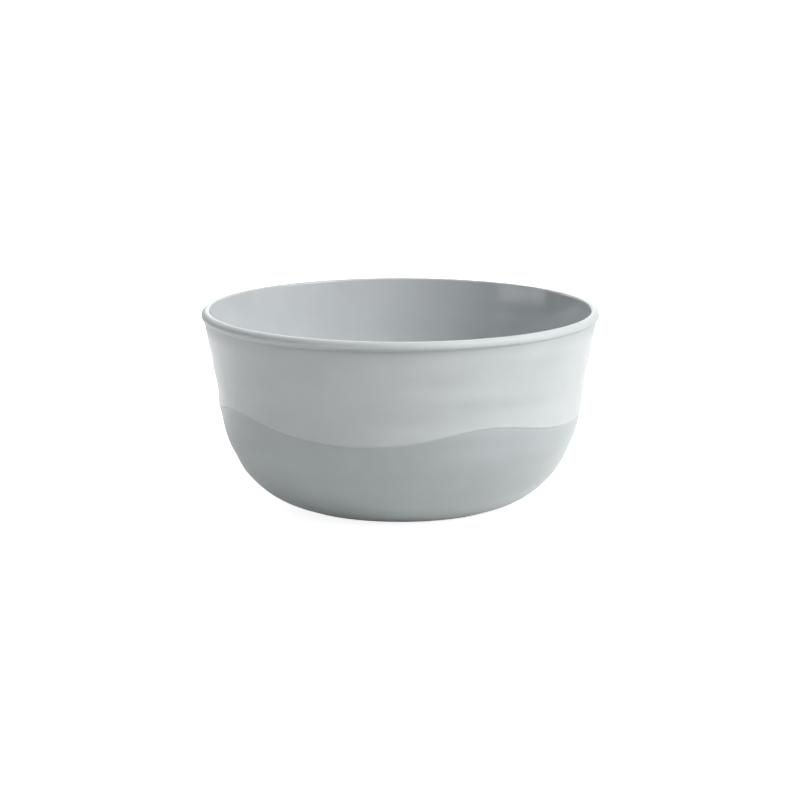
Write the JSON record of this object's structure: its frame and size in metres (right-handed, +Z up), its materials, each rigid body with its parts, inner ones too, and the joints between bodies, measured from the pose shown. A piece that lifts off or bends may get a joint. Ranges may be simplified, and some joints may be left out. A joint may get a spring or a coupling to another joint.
{
  "type": "serving bowl",
  "caption": "Round flared serving bowl with a rolled lip, a rounded belly on a low foot ring and a two-tone glazed outside with a wavy border, for chips, dip or salad.",
  "frame": {"origin": "centre of the circle that the bowl stands on, on the table plane", "axes": "+Z up out of the mouth, -Y is the side seen in front, +X to its right; the wave's crest nearest the front is 29 degrees towards +X"},
  "size_m": [0.145, 0.145, 0.071],
  "materials": {
    "bare_stoneware": "unglazed fired clay, fine matte grain",
    "mid_grey_glaze": "satin, blue-grey",
    "pale_grey_glaze": "satin, pale blue-grey",
    "inside_grey_glaze": "satin, blue-grey"
  },
  "bodies": {
    "root": {"stoneware_body": "bare_stoneware", "lower_glaze": "mid_grey_glaze", "upper_glaze": "pale_grey_glaze", "inside_glaze": "inside_grey_glaze", "base_glaze": "mid_grey_glaze"}
  },
  "joints": []
}
